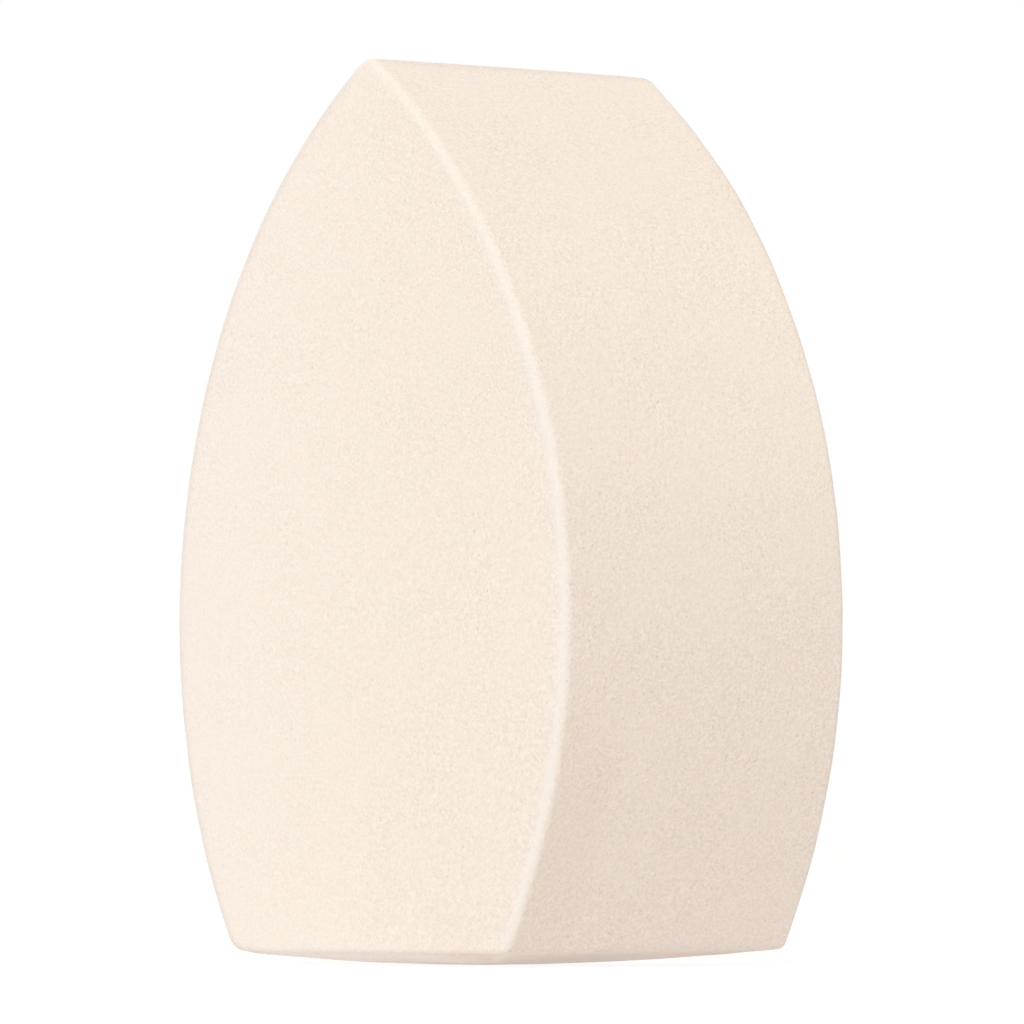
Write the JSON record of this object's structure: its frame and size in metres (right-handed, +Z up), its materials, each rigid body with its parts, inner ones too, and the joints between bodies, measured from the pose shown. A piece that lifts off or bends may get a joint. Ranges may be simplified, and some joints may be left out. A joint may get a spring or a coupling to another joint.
{
  "type": "makeup sponge",
  "caption": "Makeup sponge: a block of fine foam with a pointed-arch outline, flat front and back faces, curved flanks, a straight top ridge and a domed base.",
  "frame": {"origin": "middle of the flat resting face under the domed base", "axes": "+X across the pointed arch, -Y out of the front face, +Y towards the back face along the depth, +Z up to the top ridge"},
  "size_m": [0.044, 0.0264, 0.065],
  "materials": {
    "foam": "matte"
  },
  "bodies": {
    "root": {"foam_body": "foam"}
  },
  "joints": []
}
